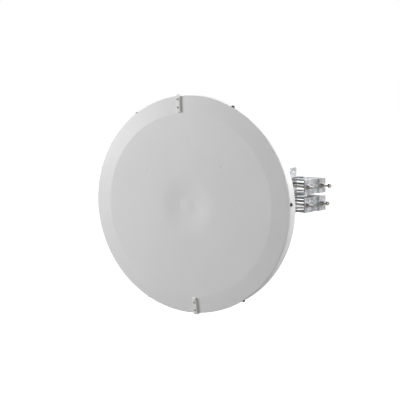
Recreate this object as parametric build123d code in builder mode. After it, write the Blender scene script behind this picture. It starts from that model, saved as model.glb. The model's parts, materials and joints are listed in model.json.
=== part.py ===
"""Outdoor wireless bridge: a radio behind a 0.7 m parabolic antenna, on an offset pole mount.

Millimetres, +Z up. The origin is the middle of the pole clamp, on the pole's axis. The antenna
looks along -Y and hangs beside the pole, on its -X side.
"""
import os
from math import cos, radians, sin

from build123d import *

# ---- driving dimensions: the antenna ----
DISH_X = -248.0              # dish axis, measured from the pole's axis
DISH_Z = -12.0
FACE_EDGE_Y = -322.0         # plane of the radome's outer edge
RADOME_R = 341.5             # outside of the radome's skirt
EDGE_ROUND = 3.5             # rounding between the bevel and the skirt
BEVEL_INNER_R = 287.0
BEVEL_RISE = 5.0             # how far the flat middle stands in front of the edge
SKIRT_DEPTH = 47.0
RADOME_WALL = 3.0
CLIP_ANGLE = 94.0            # where the top clip stands, degrees from +X towards +Z
RIM_SCREW_ANGLE = 2.6        # first rim screw
RIM_SCREW_COUNT = 6
M5_R = 2.5
M5_HOLE_R = 2.6
M6_R = 3.0
M6_HOLE_R = 3.2
RIM_SCREW_Y = FACE_EDGE_Y + 12.0

FOCAL_LENGTH = 160.0
REFLECTOR_R = 326.0
REFLECTOR_WALL = 2.0
RIM_Y = FACE_EDGE_Y + 5.0    # front of the reflector's rolled rim
FLANGE_R = 335.5             # outside of the reflector's rim flange
FLANGE_DEPTH = 22.0
HUB_SEAT_R = 62.0            # flat middle of the reflector
HUB_R = 60.0
HUB_BOLT_R = 46.0
FEED_R = 12.0

# ---- driving dimensions: the radio and its seat ----
HUB_BACK_Y = -125.0
PLATE_BACK_Y = -120.0
ADAPTER_BACK_Y = -112.0
ADAPTER_R = 88.0
GROOVE_R = 80.0
SPIGOT_R = 16.0
RADIO_HALF = 80.0            # half the width of the square radio
RADIO_CORNER = 22.0
RADIO_WALL = 5.0
COVER_FRONT_Y = ADAPTER_BACK_Y + 0.3
COVER_BACK_Y = -100.0
GASKET_BACK_Y = -98.0
BASE_BACK_Y = -60.0
FIN_BACK_Y = -48.0
BOSS_PITCH = 132.0
LATCH_PIVOT = (86.0, -86.0)  # distance from the dish axis, and Y
LATCH_PIN_R = 2.0
GLAND_X = DISH_X + 42.0
GLAND_Y = -80.0
GROUND_X = DISH_X - 45.0
VENT_X = DISH_X - 25.0

# ---- driving dimensions: the pointing head ----
PIVOT_X = -88.0              # azimuth pivot, a vertical bolt
PIVOT_Y = -70.0              # shared by the azimuth and the elevation pivots
EAR_INNER_X = -125.0         # the dish ear's face towards the azimuth bracket
STEEL = 5.0                  # plate thickness of all brackets
EAR_GAP = 0.5
HEAD_TOP_Z = 67.0
HEAD_BOTTOM_Z = -79.0
LOCK_R = 42.0                # elevation lock bolts, from the elevation pivot
AZIMUTH_LOCK_R = 28.0
LEVER = 56.0                 # from each pivot to its adjusting screws
FINGER_HALF = 7.0
TIP_GAP = 0.8
SWING = 12.0                 # fine adjustment each way, degrees

# ---- driving dimensions: the pole clamp, which is turned about the pole ----
CLAMP_TURN = 18.0            # from +X towards -Y, degrees
POLE_R = 30.15               # 60.3 mm tube
JAW_HEIGHT = 49.0
JAW_PITCH = 59.0
JAW_HALF_WIDTH = 55.0
INNER_WEB = 56.0             # from the pole's axis to the inner face of each web
OUTER_WEB = 62.0
JAW_PLATE = 4.0
JAW_TIP = 8.0
SADDLE_HALF = 48.0
BOLT_ACROSS = 38.0
M8_R = 4.0
M8_HOLE_R = 4.5
M12_R = 6.0
PIVOT_HOLE_R = 6.06
RUNNING_R = 4.06             # hole that guides a turning M8 screw
SAFETY_EYE_R = 5.5
SAFETY_EYE = (43.0, 68.0)    # across the clamp, and Z

# ---- worked out ----
FLAT_Y = FACE_EDGE_Y - BEVEL_RISE
SKIRT_BACK_Y = FACE_EDGE_Y + SKIRT_DEPTH
BEVEL_OUTER_R = RADOME_R - EDGE_ROUND
VERTEX_Y = RIM_Y + REFLECTOR_R**2 / (4 * FOCAL_LENGTH)
HUB_SEAT_Y = VERTEX_Y - HUB_SEAT_R**2 / (4 * FOCAL_LENGTH) + REFLECTOR_WALL
TONGUE_TOP_Z = HEAD_TOP_Z - STEEL - 0.6
TONGUE_BOTTOM_Z = HEAD_BOTTOM_Z + STEEL + 0.6
HEAD_WEB_X = EAR_INNER_X + EAR_GAP
SCREW_Y = PIVOT_Y + LEVER
EAR_MID_X = EAR_INNER_X - STEEL / 2
FINGER_Z = HEAD_TOP_Z
TRAVEL = LEVER * radians(SWING)

CLAMP_OUT = Vector(cos(radians(CLAMP_TURN)), -sin(radians(CLAMP_TURN)), 0)
CLAMP = Plane(origin=(0, 0, 0), x_dir=CLAMP_OUT, z_dir=(0, 0, 1))
DISH_SECTION = Plane(origin=(DISH_X, 0, DISH_Z))          # x: radius, y: the dish axis
DISH_AXIS = Axis((DISH_X, 0, DISH_Z), (0, 1, 0))
TOP_CLIP, BOTTOM_CLIP = CLIP_ANGLE, CLIP_ANGLE + 180.0
RIM_SCREW_ANGLES = [RIM_SCREW_ANGLE + 360.0 / RIM_SCREW_COUNT * k for k in range(RIM_SCREW_COUNT)]
HUB_BOLT_ANGLES = [60.0 * k for k in range(6)]


# ---- helpers: each adds to, or cuts, the part that is being built ----
def radial(angle):
    """Unit vector away from the dish axis, angle from +X towards +Z."""
    return Vector(cos(radians(angle)), 0, sin(radians(angle)))


def radial_plane(angle):
    """Section plane through the dish axis: local x is the radius, local y is Y."""
    out = radial(angle)
    return Plane(origin=(DISH_X, 0, DISH_Z), x_dir=out, z_dir=out.cross(Vector(0, 1, 0)))


def dish_point(radius, y, angle):
    return Vector(DISH_X, y, DISH_Z) + radial(angle) * radius


def rod(start, direction, radius, length, mode=Mode.ADD):
    with BuildSketch(Plane(origin=start, z_dir=direction)) as section:
        Circle(radius)
    extrude(section.sketch, amount=length, mode=mode)


def hex_rod(start, direction, across_flats, length, mode=Mode.ADD):
    with BuildSketch(Plane(origin=start, z_dir=direction)) as section:
        RegularPolygon(across_flats / 2, 6, major_radius=False)
    extrude(section.sketch, amount=length, mode=mode)


def block(low, high, mode=Mode.ADD):
    """A box between two corners."""
    middle = [(a + b) / 2 for a, b in zip(low, high)]
    size = [b - a for a, b in zip(low, high)]
    with Locations(tuple(middle)):
        Box(*size, mode=mode)


def turned(points, mode=Mode.ADD):
    """A ring turned about the dish axis from (radius, y) points."""
    with BuildSketch(DISH_SECTION) as section:
        with BuildLine():
            Polyline(*points, close=True)
        make_face()
    revolve(section.sketch, axis=DISH_AXIS, mode=mode)


def ring(inner, outer, front_y, back_y, mode=Mode.ADD):
    turned([(inner, front_y), (outer, front_y), (outer, back_y), (inner, back_y)], mode=mode)


def hex_bolt(head_seat, direction, radius, length, across_flats, head):
    """A bolt whose shank runs along direction from the plane its head bears on."""
    along = Vector(*direction)
    hex_rod(Vector(*head_seat) - along * head, direction, across_flats, head)
    rod(head_seat, direction, radius, length)


def hex_nut(seat, direction, bore, across_flats, height):
    hex_rod(seat, direction, across_flats, height)
    rod(seat, direction, bore, height, mode=Mode.SUBTRACT)


def clamp_point(out, across, z):
    """A point in the clamp's own directions, measured from the pole's axis."""
    return CLAMP.from_local_coords(Vector(out, across, z))


def clamp_block(low, high):
    """A box between two corners, given in the clamp's own directions."""
    with BuildSketch(CLAMP.offset(low[2])) as section:
        with Locations(((low[0] + high[0]) / 2, (low[1] + high[1]) / 2)):
            Rectangle(high[0] - low[0], high[1] - low[1])
    extrude(section.sketch, amount=high[2] - low[2])


def bevel_y(radius):
    """Y of the radome's bevel at a radius."""
    slope = BEVEL_RISE / (BEVEL_OUTER_R - BEVEL_INNER_R)
    return FLAT_Y + slope * (radius - BEVEL_INNER_R)


def save(node, name):
    node.part.label = name
    export_step(node.part, f"parts/{name}.step")


os.makedirs("parts", exist_ok=True)

# =====================================================================================
# Antenna: radome, reflector and feed
# =====================================================================================
CLIP_SCREW_RADII = (306.0, 331.0)
CLIP_SCREW_R = 2.0
CLIP_HEAD_R = 2.8
CLIP_HOLE_R = 2.1


def clip_screw_holes(front_y, depth, radii=CLIP_SCREW_RADII):
    for angle in (TOP_CLIP, BOTTOM_CLIP):
        for radius in radii:
            rod(dish_point(radius, front_y, angle), (0, 1, 0), CLIP_HOLE_R, depth, mode=Mode.SUBTRACT)


def rim_screw_holes(inner, outer):
    for angle in RIM_SCREW_ANGLES:
        start = dish_point(inner, RIM_SCREW_Y, angle)
        rod(start, radial(angle), M5_HOLE_R, outer - inner, mode=Mode.SUBTRACT)


with BuildPart() as radome:
    with BuildSketch(DISH_SECTION) as radome_section:
        with BuildLine():
            inside_r = RADOME_R - RADOME_WALL
            inside_y = FACE_EDGE_Y + EDGE_ROUND
            outer_face = Polyline((0, FLAT_Y), (BEVEL_INNER_R, FLAT_Y), (BEVEL_OUTER_R, FACE_EDGE_Y))
            outer_corner = RadiusArc(outer_face @ 1, (RADOME_R, inside_y), -EDGE_ROUND)
            skirt = Polyline(
                outer_corner @ 1, (RADOME_R, SKIRT_BACK_Y), (inside_r, SKIRT_BACK_Y), (inside_r, inside_y)
            )
            inner_corner = RadiusArc(
                skirt @ 1, (BEVEL_OUTER_R, FACE_EDGE_Y + RADOME_WALL), EDGE_ROUND - RADOME_WALL
            )
            Polyline(
                inner_corner @ 1,
                (BEVEL_INNER_R, FLAT_Y + RADOME_WALL),
                (0, FLAT_Y + RADOME_WALL),
                (0, FLAT_Y),
            )
        make_face()
    revolve(axis=DISH_AXIS)
    clip_screw_holes(FLAT_Y - 1, 12)
    rim_screw_holes(FLANGE_R, RADOME_R + 2)
save(radome, "radome")

GASKET_R = (327.0, 334.0)
with BuildPart() as radome_gasket:
    gasket_front = [bevel_y(r) + RADOME_WALL + 0.05 for r in GASKET_R]
    gasket_section = list(zip(GASKET_R, gasket_front))
    turned([*gasket_section, (GASKET_R[1], RIM_Y), (GASKET_R[0], RIM_Y)])
    clip_screw_holes(FLAT_Y, 20, radii=CLIP_SCREW_RADII[1:])
save(radome_gasket, "radome_gasket")


def parabola_y(radius):
    return VERTEX_Y - radius**2 / (4 * FOCAL_LENGTH)


def parabola_control(inner, outer):
    """Middle control point of the quadratic curve that is this stretch of the parabola."""
    middle = (inner + outer) / 2
    return (middle, parabola_y(inner) - inner / (2 * FOCAL_LENGTH) * (middle - inner))


with BuildPart() as reflector:
    with BuildSketch(DISH_SECTION):
        with BuildLine():
            wall = REFLECTOR_WALL
            seat_front = parabola_y(HUB_SEAT_R)
            bend = parabola_control(HUB_SEAT_R, REFLECTOR_R)
            hub_seat = Line((FEED_R + 1, seat_front), (HUB_SEAT_R, seat_front))
            bowl_front = Bezier(hub_seat @ 1, bend, (REFLECTOR_R, RIM_Y))
            rolled_rim = Polyline(
                bowl_front @ 1,
                (FLANGE_R, RIM_Y),
                (FLANGE_R, RIM_Y + FLANGE_DEPTH),
                (FLANGE_R - wall, RIM_Y + FLANGE_DEPTH),
                (FLANGE_R - wall, RIM_Y + wall),
                (REFLECTOR_R, RIM_Y + wall),
            )
            bowl_back = Bezier(rolled_rim @ 1, (bend[0], bend[1] + wall), (HUB_SEAT_R, seat_front + wall))
            Polyline(bowl_back @ 1, (FEED_R + 1, seat_front + wall), hub_seat @ 0)
        make_face()
    revolve(axis=DISH_AXIS)
    clip_screw_holes(FLAT_Y, 20, radii=CLIP_SCREW_RADII[1:])
    rim_screw_holes(FLANGE_R - 6, FLANGE_R + 2)
    for angle in HUB_BOLT_ANGLES:
        rod(dish_point(HUB_BOLT_R, HUB_SEAT_Y - 4, angle), (0, 1, 0), M6_HOLE_R, 8, mode=Mode.SUBTRACT)
save(reflector, "reflector")

WASHER_T = 1.0
with BuildPart() as rim_screws:
    for angle in RIM_SCREW_ANGLES:
        seat = dish_point(RADOME_R + 0.05 + WASHER_T, RIM_SCREW_Y, angle)
        hex_bolt(seat, -radial(angle), M5_R, 18.0, 8.0, 3.2)
save(rim_screws, "rim_screws")

with BuildPart() as rim_washers:
    for angle in RIM_SCREW_ANGLES:
        seat = dish_point(RADOME_R + 0.05, RIM_SCREW_Y, angle)
        rod(seat, radial(angle), 5.5, WASHER_T)
        rod(seat, radial(angle), M5_R, WASHER_T, mode=Mode.SUBTRACT)
save(rim_washers, "rim_washers")

SPACER_T = 2.7
with BuildPart() as rim_spacers:
    for angle in RIM_SCREW_ANGLES:
        seat = dish_point(FLANGE_R + 0.1, RIM_SCREW_Y, angle)
        rod(seat, radial(angle), 6.0, SPACER_T)
        rod(seat, radial(angle), M5_R, SPACER_T, mode=Mode.SUBTRACT)
save(rim_spacers, "rim_spacers")

with BuildPart() as rim_nuts:
    for angle in RIM_SCREW_ANGLES:
        seat = dish_point(FLANGE_R - REFLECTOR_WALL - 0.1, RIM_SCREW_Y, angle)
        hex_nut(seat, -radial(angle), M5_R, 8.0, 4.5)
save(rim_nuts, "rim_nuts")

CLIP_WIDTH = 10.0
CLIP_INNER_R = 290.0
CLIP_PROUD = 6.5
CLIP_LEG = (RADOME_R + 0.4, RADOME_R + 4.4)
CLIP_HOOK_R = 332.5
CLIP_HOOK_Y = (SKIRT_BACK_Y + 0.5, SKIRT_BACK_Y + 4.5)


def radome_clip(angle):
    """A hook-shaped bar that holds the radome's edge against the reflector's rim."""
    outline = [
        (CLIP_INNER_R, bevel_y(CLIP_INNER_R)),
        (CLIP_INNER_R + 1, bevel_y(CLIP_INNER_R) - CLIP_PROUD + 2),
        (CLIP_INNER_R + 4, bevel_y(CLIP_INNER_R + 4) - CLIP_PROUD),
        (CLIP_LEG[1] - 5, bevel_y(CLIP_LEG[1] - 5) - CLIP_PROUD),
        (CLIP_LEG[1], bevel_y(CLIP_LEG[1]) - CLIP_PROUD + 5),
        (CLIP_LEG[1], CLIP_HOOK_Y[1]),
        (CLIP_HOOK_R, CLIP_HOOK_Y[1]),
        (CLIP_HOOK_R, CLIP_HOOK_Y[0]),
        (CLIP_LEG[0], CLIP_HOOK_Y[0]),
        (CLIP_LEG[0], FACE_EDGE_Y),
        (BEVEL_OUTER_R, FACE_EDGE_Y),
    ]
    with BuildSketch(radial_plane(angle)) as section:
        with BuildLine():
            Polyline(*outline, close=True)
        make_face()
    extrude(section.sketch, amount=CLIP_WIDTH / 2, both=True)
    clip_screw_holes(FLAT_Y - 20, 40)


with BuildPart() as radome_clip_top:
    radome_clip(TOP_CLIP)
save(radome_clip_top, "radome_clip_top")

with BuildPart() as radome_clip_bottom:
    radome_clip(BOTTOM_CLIP)
save(radome_clip_bottom, "radome_clip_bottom")

with BuildPart() as clip_screws:
    for angle in (TOP_CLIP, BOTTOM_CLIP):
        for radius, length in zip(CLIP_SCREW_RADII, (16.0, 26.0)):
            front = bevel_y(radius) - CLIP_PROUD - 0.4
            rod(dish_point(radius, front, angle), (0, -1, 0), CLIP_HEAD_R, 1.2)
            rod(dish_point(radius, front, angle), (0, 1, 0), CLIP_SCREW_R, length)
save(clip_screws, "clip_screws")

FEED_FRONT_Y = -296.0
with BuildPart() as feed_tube:
    ring(FEED_R - 2, FEED_R, FEED_FRONT_Y, PLATE_BACK_Y)
save(feed_tube, "feed_tube")

with BuildPart() as feed_cone:
    turned([(0, FEED_FRONT_Y), (FEED_R, FEED_FRONT_Y), (38, FEED_FRONT_Y - 10), (0, FEED_FRONT_Y - 10)])
save(feed_cone, "feed_cone")

with BuildPart() as sub_reflector:
    ring(0, 40, FEED_FRONT_Y - 13, FEED_FRONT_Y - 10)
save(sub_reflector, "sub_reflector")

# =====================================================================================
# Hub, dish bracket and the seat for the radio
# =====================================================================================
ADAPTER_BOLT_R = 48.0
ADAPTER_BOLT_ANGLES = (45.0, 135.0, 225.0, 315.0)

with BuildPart() as hub:
    ring(FEED_R, HUB_R, HUB_SEAT_Y, HUB_BACK_Y)
    for angle in HUB_BOLT_ANGLES:
        rod(dish_point(HUB_BOLT_R, HUB_SEAT_Y, angle), (0, 1, 0), M6_R, 14, mode=Mode.SUBTRACT)
    for angle in ADAPTER_BOLT_ANGLES:
        rod(dish_point(ADAPTER_BOLT_R, HUB_BACK_Y, angle), (0, -1, 0), M8_R, 14, mode=Mode.SUBTRACT)
save(hub, "hub")

CLAMP_RING_T = 4.0
CLAMP_RING_FRONT_Y = HUB_SEAT_Y - REFLECTOR_WALL - CLAMP_RING_T
with BuildPart() as hub_clamp_ring:
    ring(34.0, 58.0, CLAMP_RING_FRONT_Y, CLAMP_RING_FRONT_Y + CLAMP_RING_T)
    for angle in HUB_BOLT_ANGLES:
        start = dish_point(HUB_BOLT_R, CLAMP_RING_FRONT_Y, angle)
        rod(start, (0, 1, 0), M6_HOLE_R, CLAMP_RING_T, mode=Mode.SUBTRACT)
save(hub_clamp_ring, "hub_clamp_ring")

with BuildPart() as hub_bolts:
    for angle in HUB_BOLT_ANGLES:
        hex_bolt(dish_point(HUB_BOLT_R, CLAMP_RING_FRONT_Y, angle), (0, 1, 0), M6_R, 19.0, 10.0, 4.0)
save(hub_bolts, "hub_bolts")

PLATE_HALF = 75.0
EAR_HALF = 55.0
EAR_BACK_Y = -35.0


def arc_slot(centre, normal, x_dir, slot_radius, half_width, half_angle, depth):
    """A slot that is an arc about a pivot, cut both ways from its plane."""
    with BuildSketch(Plane(origin=centre, x_dir=x_dir, z_dir=normal)) as slot:
        with BuildLine() as path:
            CenterArc((0, 0), slot_radius, 90 - half_angle, 2 * half_angle)
        SlotArc(path.wires()[0].edges()[0], 2 * half_width)
    extrude(slot.sketch, amount=depth, both=True, mode=Mode.SUBTRACT)


with BuildPart() as dish_bracket:
    block(
        (DISH_X - PLATE_HALF, HUB_BACK_Y, DISH_Z - PLATE_HALF),
        (EAR_INNER_X, PLATE_BACK_Y, DISH_Z + PLATE_HALF),
    )
    fillet(dish_bracket.edges().filter_by(Axis.Y), 14)
    block(
        (EAR_INNER_X - STEEL, HUB_BACK_Y, DISH_Z - EAR_HALF),
        (EAR_INNER_X, EAR_BACK_Y, DISH_Z + EAR_HALF),
    )
    fillet(dish_bracket.edges().filter_by(Axis.X).group_by(Axis.Y)[-1], 30)
    block(
        (EAR_INNER_X - STEEL, EAR_BACK_Y - 20, DISH_Z - FINGER_HALF),
        (EAR_INNER_X, SCREW_Y + 8, DISH_Z + FINGER_HALF),
    )
    rod((DISH_X, HUB_BACK_Y, DISH_Z), (0, 1, 0), FEED_R + 1, STEEL, mode=Mode.SUBTRACT)
    for angle in ADAPTER_BOLT_ANGLES:
        rod(dish_point(ADAPTER_BOLT_R, HUB_BACK_Y, angle), (0, 1, 0), M8_HOLE_R, STEEL, mode=Mode.SUBTRACT)
    rod((EAR_INNER_X - STEEL, PIVOT_Y, DISH_Z), (1, 0, 0), PIVOT_HOLE_R, STEEL, mode=Mode.SUBTRACT)
    for up in (1, -1):
        arc_slot((EAR_MID_X, PIVOT_Y, DISH_Z), (1, 0, 0), (0, up, 0), LOCK_R, M8_HOLE_R, SWING + 1, STEEL)
save(dish_bracket, "dish_bracket")

with BuildPart() as radio_adapter:
    ring(SPIGOT_R + 0.08, GROOVE_R, PLATE_BACK_Y, ADAPTER_BACK_Y)
    ring(GROOVE_R - 1, ADAPTER_R, ADAPTER_BACK_Y - 4, ADAPTER_BACK_Y)
    for angle in ADAPTER_BOLT_ANGLES:
        rod(dish_point(ADAPTER_BOLT_R, PLATE_BACK_Y, angle), (0, 1, 0), M8_HOLE_R, 8, mode=Mode.SUBTRACT)
        rod(dish_point(ADAPTER_BOLT_R, ADAPTER_BACK_Y, angle), (0, -1, 0), 7.0, 5.5, mode=Mode.SUBTRACT)
save(radio_adapter, "radio_adapter")

with BuildPart() as adapter_bolts:
    for angle in ADAPTER_BOLT_ANGLES:
        seat = dish_point(ADAPTER_BOLT_R, ADAPTER_BACK_Y - 5.5, angle)
        rod(seat, (0, 1, 0), 6.5, 5.0)
        hex_rod(seat + Vector(0, 2, 0), (0, 1, 0), 5.0, 3.0, mode=Mode.SUBTRACT)
        rod(seat, (0, -1, 0), M8_R, 20.0)
save(adapter_bolts, "adapter_bolts")

# =====================================================================================
# Radio
# =====================================================================================
LATCH_ANGLES = {"latch_right": 0.0, "latch_top": 90.0, "latch_left": 180.0, "latch_bottom": 270.0}
RADIO_FACE = Plane(origin=(DISH_X, 0, DISH_Z), x_dir=(1, 0, 0), z_dir=(0, -1, 0))
INNER_HALF = RADIO_HALF - RADIO_WALL
BOSS_R = 6.5
FIN_COUNT = 13
FIN_PITCH = 11.0


def square_shell(front_y, back_y, half, corner, mode=Mode.ADD):
    """A square prism with round corners, about the dish axis."""
    with BuildSketch(RADIO_FACE.offset(-back_y)) as section:
        RectangleRounded(2 * half, 2 * half, corner)
    extrude(section.sketch, amount=back_y - front_y, mode=mode)


def at_bosses(front_y, back_y, radius, mode=Mode.ADD):
    with BuildSketch(RADIO_FACE.offset(-back_y)) as section:
        with GridLocations(BOSS_PITCH, BOSS_PITCH, 2, 2):
            Circle(radius)
    extrude(section.sketch, amount=back_y - front_y, mode=mode)


with BuildPart() as radio_cover:
    square_shell(COVER_FRONT_Y, COVER_BACK_Y, RADIO_HALF, RADIO_CORNER)
    square_shell(COVER_FRONT_Y + RADIO_WALL, COVER_BACK_Y, INNER_HALF, RADIO_CORNER - 4, mode=Mode.SUBTRACT)
    at_bosses(COVER_FRONT_Y + RADIO_WALL - 1, COVER_BACK_Y, BOSS_R)
    at_bosses(COVER_FRONT_Y, COVER_BACK_Y, 2.6, mode=Mode.SUBTRACT)
    at_bosses(COVER_FRONT_Y, COVER_FRONT_Y + 4, 4.6, mode=Mode.SUBTRACT)
    ring(0, SPIGOT_R, COVER_FRONT_Y, COVER_BACK_Y, mode=Mode.SUBTRACT)
save(radio_cover, "radio_cover")

with BuildPart() as radio_gasket:
    square_shell(COVER_BACK_Y, GASKET_BACK_Y, RADIO_HALF - 0.5, RADIO_CORNER - 0.5)
    square_shell(COVER_BACK_Y, GASKET_BACK_Y, INNER_HALF, RADIO_CORNER - 4, mode=Mode.SUBTRACT)
    at_bosses(COVER_BACK_Y, GASKET_BACK_Y, BOSS_R)
    at_bosses(COVER_BACK_Y, GASKET_BACK_Y, 2.6, mode=Mode.SUBTRACT)
save(radio_gasket, "radio_gasket")

LATCH_HALF_WIDTH = 9.0
EAR_WIDTH = 4.5
with BuildPart() as radio_base:
    square_shell(GASKET_BACK_Y, BASE_BACK_Y, RADIO_HALF, RADIO_CORNER)
    square_shell(GASKET_BACK_Y, BASE_BACK_Y - 4, INNER_HALF, RADIO_CORNER - 4, mode=Mode.SUBTRACT)
    at_bosses(GASKET_BACK_Y, BASE_BACK_Y - 2, BOSS_R)
    with BuildSketch(RADIO_FACE.offset(-FIN_BACK_Y)) as fins:
        with GridLocations(FIN_PITCH, 0, FIN_COUNT, 1):
            RectangleRounded(3.0, 2 * (RADIO_HALF - 14), 1.4)
    extrude(fins.sketch, amount=FIN_BACK_Y - BASE_BACK_Y + 1)
    for angle in LATCH_ANGLES.values():
        for side in (1, -1):
            with BuildSketch(radial_plane(angle).offset(side * (LATCH_HALF_WIDTH + 0.5))) as ear:
                with Locations(((RADIO_HALF + LATCH_PIVOT[0]) / 2, LATCH_PIVOT[1])):
                    Rectangle(LATCH_PIVOT[0] - RADIO_HALF + 2, 10)
                with Locations(LATCH_PIVOT):
                    Circle(5.0)
                    Circle(LATCH_PIN_R, mode=Mode.SUBTRACT)
            extrude(ear.sketch, amount=side * EAR_WIDTH)
    at_bosses(GASKET_BACK_Y, GASKET_BACK_Y + 22, 2.5, mode=Mode.SUBTRACT)
    bottom_z = DISH_Z - RADIO_HALF
    rod((GLAND_X, GLAND_Y, bottom_z), (0, 0, 1), 8.0, RADIO_WALL, mode=Mode.SUBTRACT)
    rod((GROUND_X, GLAND_Y, bottom_z), (0, 0, 1), 3.0, RADIO_WALL, mode=Mode.SUBTRACT)
    rod((VENT_X, GLAND_Y, bottom_z), (0, 0, 1), 4.0, RADIO_WALL, mode=Mode.SUBTRACT)
save(radio_base, "radio_base")

with BuildPart() as cover_screws:
    for x_side in (1, -1):
        for z_side in (1, -1):
            corner = Vector(DISH_X, 0, DISH_Z) + Vector(x_side, 0, z_side) * (BOSS_PITCH / 2)
            seat = corner + Vector(0, COVER_FRONT_Y + 4, 0)
            rod(seat, (0, -1, 0), 4.4, 3.6)
            rod(seat, (0, 1, 0), 2.5, 26.0)
save(cover_screws, "cover_screws")

BOARD_HALF = 58.0
with BuildPart() as main_board:
    square_shell(-92.0, -90.4, BOARD_HALF, 3.0)
save(main_board, "main_board")

with BuildPart() as rf_module:
    square_shell(-103.5, -92.0, 42.0, 4.0)
    for x_side in (1, -1):
        can_x = DISH_X + x_side * 20
        block((can_x - 8, -104.5, DISH_Z - 30), (can_x + 8, -103.5, DISH_Z + 30))
save(rf_module, "rf_module")

with BuildPart() as heat_spreader:
    square_shell(-90.4, BASE_BACK_Y - 4, 30.0, 3.0)
save(heat_spreader, "heat_spreader")

SPIGOT_FRONT_Y = ADAPTER_BACK_Y - 6.0
O_RING_Y = ADAPTER_BACK_Y - 3.0
with BuildPart() as port_spigot:
    ring(FEED_R - 2, SPIGOT_R, SPIGOT_FRONT_Y, COVER_FRONT_Y + RADIO_WALL)
    ring(FEED_R - 2, SPIGOT_R + 6, COVER_FRONT_Y + RADIO_WALL, COVER_FRONT_Y + RADIO_WALL + 2)
    ring(SPIGOT_R - 2, SPIGOT_R + 1, O_RING_Y - 1, O_RING_Y + 1, mode=Mode.SUBTRACT)
save(port_spigot, "port_spigot")

with BuildPart() as port_o_ring:
    with BuildSketch(DISH_SECTION):
        with Locations((SPIGOT_R - 1, O_RING_Y)):
            Circle(0.98)
    revolve(axis=DISH_AXIS)
save(port_o_ring, "port_o_ring")

with BuildPart() as latch_pins:
    for angle in LATCH_ANGLES.values():
        middle = radial_plane(angle).from_local_coords(Vector(*LATCH_PIVOT, 0))
        across = radial(angle).cross(Vector(0, 1, 0))
        half = LATCH_HALF_WIDTH + 0.5 + EAR_WIDTH
        rod(middle - across * half, across, LATCH_PIN_R, 2 * half)
save(latch_pins, "latch_pins")

HOOK = {"tip": 82.5, "front": -119.3, "back": -116.6}
ARM = {"inner": 89.5, "outer": 92.0, "tail": -73.0}


def latch(angle):
    """A hooked arm that swings on its pin and pulls the radio onto the adapter's lip."""
    outline = [
        (HOOK["tip"], HOOK["front"]),
        (ARM["outer"], HOOK["front"]),
        (ARM["outer"], ARM["tail"]),
        (ARM["inner"], ARM["tail"]),
        (ARM["inner"], HOOK["back"]),
        (HOOK["tip"], HOOK["back"]),
    ]
    with BuildSketch(radial_plane(angle)) as section:
        with BuildLine():
            Polyline(*outline, close=True)
        make_face()
        with Locations(LATCH_PIVOT):
            Circle(4.5)
            Circle(LATCH_PIN_R + 0.05, mode=Mode.SUBTRACT)
    extrude(section.sketch, amount=LATCH_HALF_WIDTH, both=True)


for latch_name, latch_angle in LATCH_ANGLES.items():
    with BuildPart() as latch_arm:
        latch(latch_angle)
    save(latch_arm, latch_name)

DOWN = (0, 0, -1)
WALL_Z = DISH_Z - RADIO_HALF
with BuildPart() as gland_body:
    hex_rod((GLAND_X, GLAND_Y, WALL_Z), DOWN, 24.0, 5.0)
    rod((GLAND_X, GLAND_Y, WALL_Z - 5), DOWN, 8.0, 12.0)
    rod((GLAND_X, GLAND_Y, WALL_Z), (0, 0, 1), 8.0, 8.0)
    rod((GLAND_X, GLAND_Y, WALL_Z + 8), DOWN, 6.5, 25.0, mode=Mode.SUBTRACT)
save(gland_body, "gland_body")

with BuildPart() as gland_seal:
    rod((GLAND_X, GLAND_Y, WALL_Z - 7), DOWN, 6.45, 10.0)
    rod((GLAND_X, GLAND_Y, WALL_Z - 7), DOWN, 3.5, 10.0, mode=Mode.SUBTRACT)
save(gland_seal, "gland_seal")

with BuildPart() as gland_nut:
    hex_rod((GLAND_X, GLAND_Y, WALL_Z - 6), DOWN, 22.0, 15.0)
    rod((GLAND_X, GLAND_Y, WALL_Z - 6), DOWN, 8.06, 11.6, mode=Mode.SUBTRACT)
    rod((GLAND_X, GLAND_Y, WALL_Z - 6), DOWN, 4.5, 15.0, mode=Mode.SUBTRACT)
save(gland_nut, "gland_nut")

with BuildPart() as vent_plug:
    hex_rod((VENT_X, GLAND_Y, WALL_Z), DOWN, 13.0, 5.0)
    rod((VENT_X, GLAND_Y, WALL_Z + RADIO_WALL), DOWN, 4.0, RADIO_WALL)
save(vent_plug, "vent_plug")

with BuildPart() as ground_stud:
    rod((GROUND_X, GLAND_Y, WALL_Z + RADIO_WALL), DOWN, 3.0, RADIO_WALL + 20.0)
    hex_rod((GROUND_X, GLAND_Y, WALL_Z), DOWN, 10.0, 5.0)
save(ground_stud, "ground_stud")

# =====================================================================================
# Azimuth bracket, with the elevation pivot and its adjusters
# =====================================================================================
WEB_INNER_X = HEAD_WEB_X + STEEL
HEAD_FRONT_Y = -114.0
HEAD_REAR_Y = -35.0
LUG = (21.0, 29.0)            # elevation lugs, above and below the pivot's height
LUG_Y = (SCREW_Y - 8, SCREW_Y + 8)
HEAD_FLANGES = (HEAD_TOP_Z - STEEL, HEAD_BOTTOM_Z)

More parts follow.
